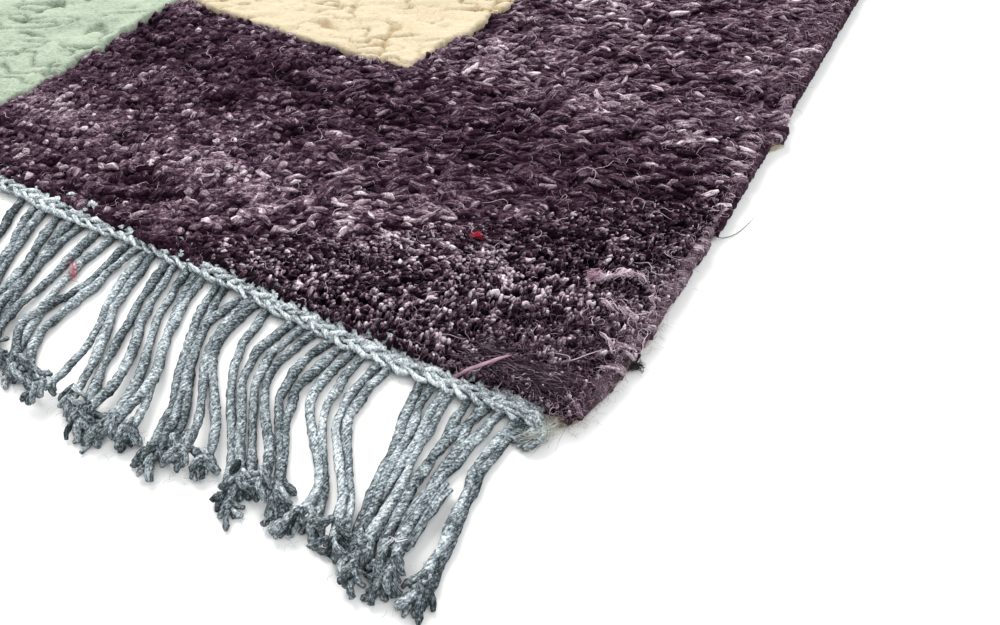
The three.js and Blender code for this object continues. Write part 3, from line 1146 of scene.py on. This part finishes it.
def warp_loops(end, reach, rng):
    """The loops of the warp beside the pile."""
    at = np.arange(-reach + 4 * MM, reach, 7.4 * MM)
    at = at + rng.normal(0, 1.0 * MM, len(at))
    share = np.linspace(0, 1, 6)
    arch = np.sin(share * math.pi)
    path = together(
        at[:, None] + 5.5 * MM * (share - 0.5) + rng.normal(0, 0.8 * MM, (len(at), 1)),
        (end_y(end, at) - end * 4.4 * MM)[:, None] - end * 2.0 * MM * arch,
        4.0 * MM + arch * rng.uniform(1.0, 3.0, (len(at), 1)) * MM,
    )
    girth = rng.uniform(1.2, 1.9, (len(at), 1)) * MM * np.ones((1, 6))
    return threads(path, girth, 6, rng, tone=0.74, ply=0.14, twist=140, rough=0.2, shade=0.2)


def turned_end(rng):
    """The braid's own strands where it stops at the right corner: they turn down over its end."""
    route = ((33, 5, 5), (22, 5, 6), (13, 4, 5.5), (9, 0, 4.5), (11, -5, 3), (15, -9, 2))
    count, rows = 6, 14
    share = np.linspace(0, 1, rows)
    side_distance, end_distance, height = along_route(np.array(route) * MM, share).T
    paths = np.empty((count, rows, 3))
    for number in range(count):
        aside = (number - 2.5) * 1.5 * MM
        x, y = on_rug(side_distance - aside * share, end_distance - aside * (1 - 0.6 * share))
        paths[number] = together(x, y, height) + bent(share, rng.normal(0, 0.7 * MM, (3, 5)).T)
    girth = rng.uniform(1.1, 1.6, (count, 1)) * MM * (1 - 0.3 * share**3)
    tone = 0.66 - 0.14 * share**2 + rng.normal(0, 0.09, (count, rows))
    return threads(paths, girth, 7, rng, tone=tone, ply=0.16, twist=130, rough=0.2, shade=0.3)


def heading(end):
    """The braided strip along one end."""
    rng = np.random.default_rng(60 + end)
    reach = end_lines[end][0].max() - 1 * MM
    parts = [*braid_rows(end, reach, rng), warp_loops(end, reach, rng)]
    if end == NEAR:
        parts.append(turned_end(rng))
    piece = solid(f"braid_{END_NAME[end]}", parts, grey_cotton)
    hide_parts(f"heading_{END_NAME[end]}")
    return piece


# ---- Overcast sides ----
# A wrap from inside over the top to underneath.
WRAP = np.array([
    # share of its reach inwards, height in millimetres, tone (darker with painted shade where it tucks
    # in under the pile and underneath), girth
    (1.0, 4.5, -0.25, 0.5),
    (0.78, 6.4, 0.0, 0.9),
    (0.52, 7.2, 0.06, 1.0),
    (0.26, 7.0, 0.06, 1.0),
    (0.06, 6.2, 0.06, 1.0),
    (0.0, 4.4, 0.05, 0.9),
    (0.05, 2.4, -0.04, 0.8),
    (0.3, 1.4, -0.2, 0.5),
])
OPENED_SIDE = 0.37  # how far along the right side the wraps are made of loose strands
CORE_HEIGHT, CORE_RADIUS = 4.4 * MM, 3.5 * MM


def wraps(side, low, high, rng):
    """The places, paths, girths and tones of the wraps along one side. They slant, fan out round the
    two corners and reach further in over the pile there."""
    at = low + np.cumsum(rng.uniform(2.6, 6.0, 400) * MM)
    at = at[at < high - 2 * MM][:, None]
    count = len(at)
    inward, height, tones, girths = WRAP.T
    height = height * MM
    near_corner = np.exp(-((at - low) / (75 * MM)) ** 2) + np.exp(-((high - at) / (75 * MM)) ** 2)
    fan = 20 * MM * (np.exp(-(at - low) / (20 * MM)) - np.exp(-(high - at) / (20 * MM)))
    slant = rng.normal(5.5, 2.0, (count, 1)) * MM - fan
    reach = (6.0 + 1.5 * near_corner + rng.normal(0, 1.0, (count, 1))) * MM
    loose_by = rng.uniform(-1.5, 2.0, (count, 1)) * MM
    along = at - slant * inward + 0.8 * MM * noise(at / MM, inward * 3, 76)
    outer = side_x(side, along) + side * (SELVEDGE_HALF - 1.0 * MM)
    across = outer - side * (reach * inward - loose_by * (1 - inward))
    height = np.maximum(height + 0.5 * loose_by * (height > 4 * MM), 1.2 * MM)
    own = np.where(rng.random((count, 1)) < 0.12, 0.14, 0.0) + rng.normal(0, 0.09, (count, 1))
    own = own + 0.06 * eased((at - low) / (200 * MM)) - 0.04
    girth = rng.uniform(1.35, 2.6, (count, 1)) * MM * girths
    girth = girth * (1 + 0.2 * noise(at / MM, inward * 5, 77))
    return at[:, 0], together(across, along, height), girth, 0.54 + own + tones


def opened_wraps(path, girth, tone, rng):
    """The same wraps, each made of a few loose strands."""
    count, strands = len(path), 3
    parts = []
    for strand in range(strands):
        around = 2 * math.pi * strand / strands + rng.uniform(0, 1.5, (count, 1))
        aside, over = 0.65 * girth * np.cos(around), 0.45 * girth * np.sin(around)
        own_path = path + together(0.0, aside, over)
        own_tone = tone + rng.normal(0, 0.09, (count, 1))
        own_girth = girth * rng.uniform(0.45, 0.7, (count, 1))
        parts.append(threads(own_path, own_girth, 5, rng, tone=own_tone, rough=0.2, grain=12 * MM))
    return parts


def selvedge(side):
    """One overcast side: a core with loose thick wool wrapped over it."""
    rng = np.random.default_rng(70 + side)
    stations, _, _ = side_lines[side]
    low, high = stations.min() + 1.5 * MM, stations.max() - 1.5 * MM
    y = np.linspace(low, high, 200)
    core = together(side_x(side, y), y, CORE_HEIGHT)[None]
    # Painted shade: the core is much darker than the wraps over it, for the shade between them.
    parts = [threads(core, np.full((1, len(y)), CORE_RADIUS), 8, rng, tone=0.15)]
    at, path, girth, tone = wraps(side, low, high, rng)
    close = (at < low + OPENED_SIDE) & (side == RIGHT)
    look = {"tone": tone[~close], "rough": 0.16, "grain": 14 * MM}
    parts.append(threads(path[~close], girth[~close], 6 if side == RIGHT else 4, rng, **look))
    if close.any():
        parts += opened_wraps(path[close], girth[close], tone[close], rng)
    piece = solid(f"overcast_{SIDE_NAME[side]}", parts, overcast_wool)
    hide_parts(f"selvedge_{SIDE_NAME[side]}")
    return piece


# ---- Loose fibres ----
def any_way(count, rng):
    """Bearings all round."""
    return rng.uniform(0, 2 * math.pi, count)


def frizz(rng):
    """Curly stray hairs on the pile, and fine frizz between them."""
    parts = []
    for count, length, radius, rows, curl, dye in (
        (150, 10 * MM, 0.11 * MM, 12, 2.6, PALE_HAIR),
        (360, 6.5 * MM, 0.08 * MM, 8, 2.8, PALE_HAIR),
        (3600, 3.4 * MM, 0.08 * MM, 4, 2.4, FRIZZ),
    ):
        s = rng.uniform(0, 1, count) ** 2.3 * 0.42 + 1 * MM
        e = rng.uniform(0, 1, count) ** 1.5 * 0.33 + 5 * MM
        x, y = on_rug(s, e)
        keep = in_fine_corner(x, y) & (block_of(x, y) == GROUND)
        x, y = x[keep], y[keep]
        long = length * rng.gamma(3, 0.33, len(x))
        z = PILE_TOP * surface(x, y) - 0.4 * MM
        way = any_way(len(x), rng)
        path = wander(x, y, z, way, long, rows, rng, curl=curl, wave=0.9, arch=1.2 * MM, drop=0.8 * MM)
        parts.append(hairs(path, radius, rng, dye))
    return parts


def past_side(path, room):
    """How far each point of a path is out from the middle of the right side, beyond some room."""
    return np.maximum(path[:, :, 0] - side_x(RIGHT, path[:, :, 1]) - room, 0)


def corner_fuzz(rng):
    """A fine dark fuzz over the yarn ends of the near right corner."""
    count = 1900
    s = rng.gamma(1.3, 28, count) * MM + 2 * MM
    e = rng.gamma(1.6, 24, count) * MM + 7 * MM
    x, y = on_rug(s, e)
    z = PILE_TOP * surface(x, y) - rng.uniform(0, 1.5, count) * MM
    way = any_way(count, rng)
    long = rng.gamma(3, 1.8, count) * MM
    path = wander(x, y, z, way, long, 4, rng, curl=1.8, wave=0.6, arch=1.3 * MM, drop=MM)
    path[:, :, 0] -= 0.7 * past_side(path, 2 * MM)
    return [hairs(path, 0.07 * MM, rng, CORNER_FUZZ)]


def side_fuzz(rng):
    """Soft fuzz on the overcast side: wool fibres that run along its round wall, and a pale halo of
    finer ones that stand off it."""
    parts = []
    groups = (
        # number, dye, radius, length, how far off the wall, how far they stray from its direction
        (900, WOOL_FUZZ, 0.12, 11, 0.1, 0.25),
        (800, MAUVE_FUZZ, 0.08, 8, 0.5, 0.45),
        (800, BROWN_FUZZ, 0.045, 6, 1.2, 1.0),
    )
    for count, dye, radius, length, off, stray in groups:
        e = rng.uniform(0, 1, count) ** 1.4 * 0.36 + 24 * MM
        lean = rng.uniform(-0.9, 0.9, count)
        _, y = on_rug(np.zeros(count), e)
        way = -math.pi / 2 + rng.normal(0.1, stray, count)
        long = rng.uniform(0.5, 1.3, count) * length * MM
        none = np.zeros(count)
        path = wander(none, y, none, way, long, 4, rng, curl=0.7, wave=0.3, arch=0.5 * MM)
        # Round the wall: sideways in the path is a way round it.
        proud = (4.3 + off * rng.uniform(0, 1, (count, 1))) * MM + path[:, :, 2]
        lean = np.minimum(lean[:, None] - path[:, :, 0] / (4.5 * MM), 1.3)
        path[:, :, 2] = 4.6 * MM + 1.1 * proud * np.sin(lean)
        path[:, :, 0] = side_x(RIGHT, path[:, :, 1]) + proud * np.cos(lean) - 0.3 * MM
        path[:, :, 2] = np.maximum(path[:, :, 2], 0.3 * MM)
        paler = 0.6 + 1.0 * eased((e - 30 * MM) / (190 * MM))[:, None]
        parts.append(hairs(path, radius * MM, rng, np.array(dye) * paler))
    return parts


# Things caught in the near right corner: a route as distances from the right side and the near end
# and a height, all in millimetres, with the number of strands, how far they scatter and their radius.
CAUGHT = (
    # pink woollen wisp beside the heading
    (((48, 3, 7), (43, 7, 11.5), (38, 14, 13), (35, 20, 13)), 2, 0.35, 0.75, PINK_WOOL),
    # pale wrap over the side, in three lumps
    (((30, 71, 12.5), (27, 73, 13.4), (24, 75.5, 13)), 5, 0.7, 0.55, PALE_HAIR),
    (((25, 75, 12.5), (21, 78, 13.6), (17.5, 80, 13)), 5, 0.8, 0.60, PALE_HAIR),
    (((18, 79, 12.5), (15, 81, 12.8), (12, 80, 11), (12, 78, 10)), 4, 0.7, 0.40, PALE_HAIR),
    # pale strands and curls round the corner
    (((17, 46, 12.5), (11, 44, 12.5), (8, 42, 11), (4, 38, 8)), 2, 0.4, 0.36, PALE_HAIR),
    (((24, 28, 12), (18, 28, 13.5), (16, 27, 13), (13, 32, 13), (9, 39, 12)), 1, 0.0, 0.22, PALE_HAIR),
    (((8, 77, 10), (6, 74, 11), (7, 72, 11), (4, 70, 10), (3, 67, 8)), 2, 0.4, 0.20, PALE_HAIR),
    (((17, 60, 12), (12, 60, 12), (7, 59, 11), (2, 58, 8)), 7, 1.3, 0.14, PALE_HAIR),
    (((23, 61, 12), (19, 60, 12.8), (14, 58, 12)), 5, 0.8, 0.34, PALE_HAIR),
    (((16, 24, 10), (13, 20, 9), (9, 21, 8), (5, 28, 7), (3, 33, 8)), 1, 0.0, 0.16, PALE_HAIR),
    # red specks
    (((88, 72, 11), (85, 72.5, 12.5), (83, 73, 11.5)), 6, 0.7, 0.26, RED_LINT),
    (((34, 70, 12), (31, 72, 13), (28, 75, 12.5)), 8, 1.0, 0.26, PINK_WOOL),
    # dark hair on the floor
    (((1, 127, 6), (-3, 128.5, 2), (-8, 137, 0.4), (-11, 150, 0.4)), 1, 0.0, 0.22, DARK_LINT),
    # stub of dark lint
    (((3, 41, 2), (0, 43, 2.6), (-2, 45, 2.4), (-4, 46, 2)), 16, 0.7, 0.34, DARK_LINT),
    # straw coloured yarn under the side
    (((5, 196, 1.2), (1, 200, 1.5), (-1, 205, 1.5), (2, 209, 1.2)), 7, 0.5, 0.26, STRAW),
    # a bright hair in the last lock of the fringe
    (((25, -60, 8), (27, -63, 9), (29, -64, 9), (31, -67, 8)), 3, 0.4, 0.20, WHITE_FLUFF),
    # pale and pink fluff where the heading stops
    (((16, -9, 2), (10, -5, 4), (7, 0, 5), (8, 6, 5)), 26, 1.5, 0.13, PALE_COTTON),
    (((10, 3, 4), (6, 6, 4), (3, 9, 2), (3, 14, 1)), 14, 1.3, 0.10, STRAW),
    # red fluff on a cord
    (((229, -20, 5), (222, -25, 5.5), (215, -29, 5)), 6, 1.0, 0.08, RED_LINT),
)


def caught(rng):
    """Strands along those routes, each with its own start, end and bends, and finer fuzz round them."""
    parts = []
    for route, strands, scatter, radius, dye in CAUGHT:
        route = np.array(route) * MM
        fuzz = 0 if strands == 1 else 3 * strands
        for count, apart, girth in ((strands, scatter, radius), (fuzz, 1.8 * scatter, 0.3 * radius)):
            rows = 3 * len(route)
            paths = np.empty((count, rows, 3))
            for number in range(count):
                start, end = (0, 1) if count == 1 else (rng.uniform(0, 0.35), rng.uniform(0.65, 1))
                share = np.linspace(start, end, rows)
                line = along_route(route, share) + bent(share, rng.normal(0, apart * MM, (5, 3)))
                line[:, 0], line[:, 1] = on_rug(line[:, 0], line[:, 1])
                paths[number] = line
            if count:
                parts.append(hairs(paths, girth * MM, rng, dye, rough=0.2))
    return parts


def combed(rng):
    """Dark fibres combed along the end of the pile towards the corner, and pale brown ones on the floor
    under it, which are partly loose fuzz and partly a painted warm shadow along the side by the corner."""
    parts = []
    for count, radius, dye in ((150, 0.30, DARK_FUZZ), (150, 0.10, MAUVE_FUZZ)):
        x, y = on_rug(rng.uniform(16, 56, count) * MM, rng.uniform(9, 21, count) * MM)
        z = rng.uniform(9.0, 11.5, count) * MM
        way = rng.normal(0.12, 0.28, count)
        long = rng.uniform(7, 15, count) * MM
        path = wander(x, y, z, way, long, 6, rng, curl=0.5, wave=0.2, arch=1.0 * MM)
        outside = past_side(path, -3 * MM)
        path[:, :, 0] -= 0.75 * outside
        path[:, :, 2] = np.maximum(path[:, :, 2] - 1.3 * outside, 0.4 * MM)
        parts.append(hairs(path, radius * MM, rng, dye))
    # Painted shadow: fine brown fibres on the floor along the side by the corner stand for its warm
    # shadow, as well as for loose fuzz.
    count = 620
    x, y = on_rug(rng.uniform(-2.0, 6, count) * MM, rng.uniform(6, 75, count) * MM)
    way = any_way(count, rng)
    z = rng.uniform(0.2, 2.5, count) * MM
    long = rng.gamma(2.5, 1.1, count) * MM
    path = wander(x, y, z, way, long, 4, rng, curl=1.6, wave=0.4, arch=0.6 * MM, drop=MM)
    parts.append(hairs(path, 0.04 * MM, rng, BROWN_SHADOW_FUZZ))
    return parts


def cotton_fuzz(rng):
    """Short grey fibres that stand off the near heading, and off the tips of its first cords."""
    parts = []
    for middle, spread in ((0, 6), (-76, 5)):
        count = 400
        x, y = on_rug(rng.uniform(12, 320, count) * MM, rng.normal(middle, spread, count) * MM)
        z = rng.uniform(3.5, 7.5, count) * MM
        way = any_way(count, rng)
        long = rng.uniform(2, 5, count) * MM
        path = wander(x, y, z, way, long, 4, rng, curl=1.6, wave=0.6, arch=0.7 * MM, drop=MM)
        parts.append(hairs(path, 0.06 * MM, rng, GREY_FUZZ))
    return parts


def loose_fibres():
    """What lies loose on the rug, in three pieces."""
    rng = np.random.default_rng(80)
    on_pile = solid("stray_fibres", frizz(rng) + corner_fuzz(rng), loose_wool)
    on_side = solid("side_fibres", side_fuzz(rng) + combed(rng), loose_wool)
    other = solid("caught_fibres", caught(rng) + cotton_fuzz(rng), loose_wool)
    return [on_pile, on_side, other]


foundation_sheet = foundation()
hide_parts("rug_body")
laid = pile()
laid += [heading(NEAR), heading(FAR), selvedge(LEFT), selvedge(RIGHT)]
laid += [fringe(NEAR), fringe(FAR)]
laid += loose_fibres()
